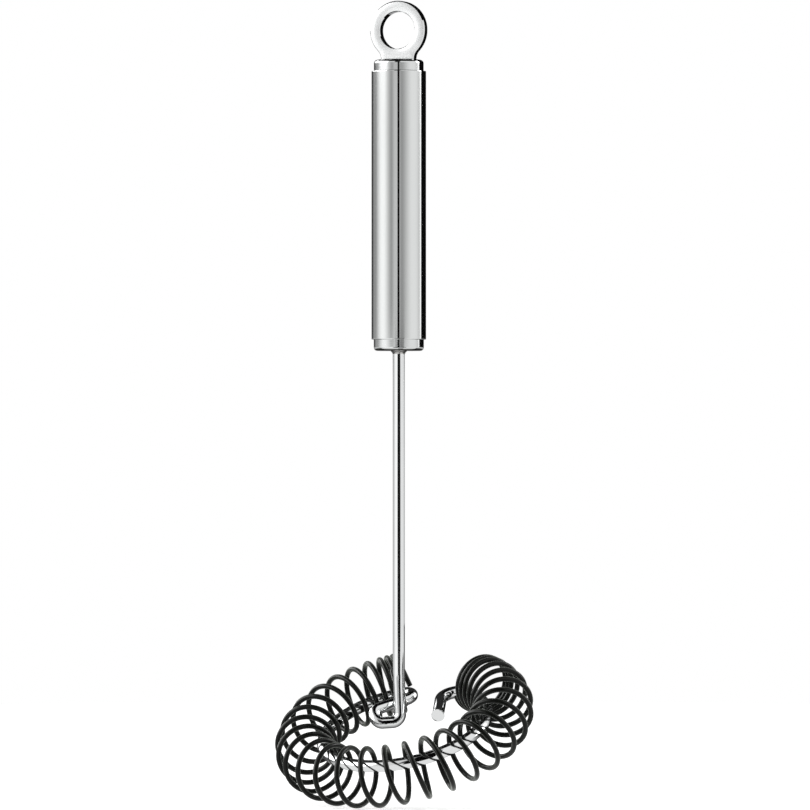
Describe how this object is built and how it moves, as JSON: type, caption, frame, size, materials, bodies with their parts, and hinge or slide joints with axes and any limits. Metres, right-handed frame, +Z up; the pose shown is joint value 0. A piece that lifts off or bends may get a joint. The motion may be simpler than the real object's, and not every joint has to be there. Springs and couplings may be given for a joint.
{
  "type": "spiral whisk",
  "caption": "Hand whisk with a hollow steel handle, a flat hanging eye and one bent wire whose tilted ring carries a loose black coil spring for whisking in shallow pans.",
  "frame": {"origin": "centre of the hanging hole, in the middle of the eye plate's thickness", "axes": "+Z up along the handle towards the eye, X along the eye plate, -Y out of the front face of the eye"},
  "size_m": [0.0859, 0.0765, 0.2635],
  "materials": {
    "handle_steel": "brushed along the handle, semi-bright",
    "eye_steel": "satin faces, polished rounded edges",
    "wire_steel": "polished stainless wire",
    "weld_steel": "dull, slightly dark bead",
    "coil_coating": "black silicone skin, soft sheen"
  },
  "bodies": {
    "whisk": {"handle_tube": "handle_steel", "top_plug": "handle_steel", "bottom_plug": "handle_steel", "hanging_eye": "eye_steel", "whisk_wire": "wire_steel", "neck_weld": "weld_steel", "loop_weld": "weld_steel"},
    "spring": {"coil_spring": "coil_coating"}
  },
  "joints": [
    {"name": "spring_rock", "type": "hinge", "parent": "whisk", "child": "spring", "pos_m": [0.01083, 0.01399, -0.21742], "axis": [-0.9905, 0.1374, 0], "range_deg": [-1, 3], "stiffness_Nm_per_rad": 0.5}
  ]
}
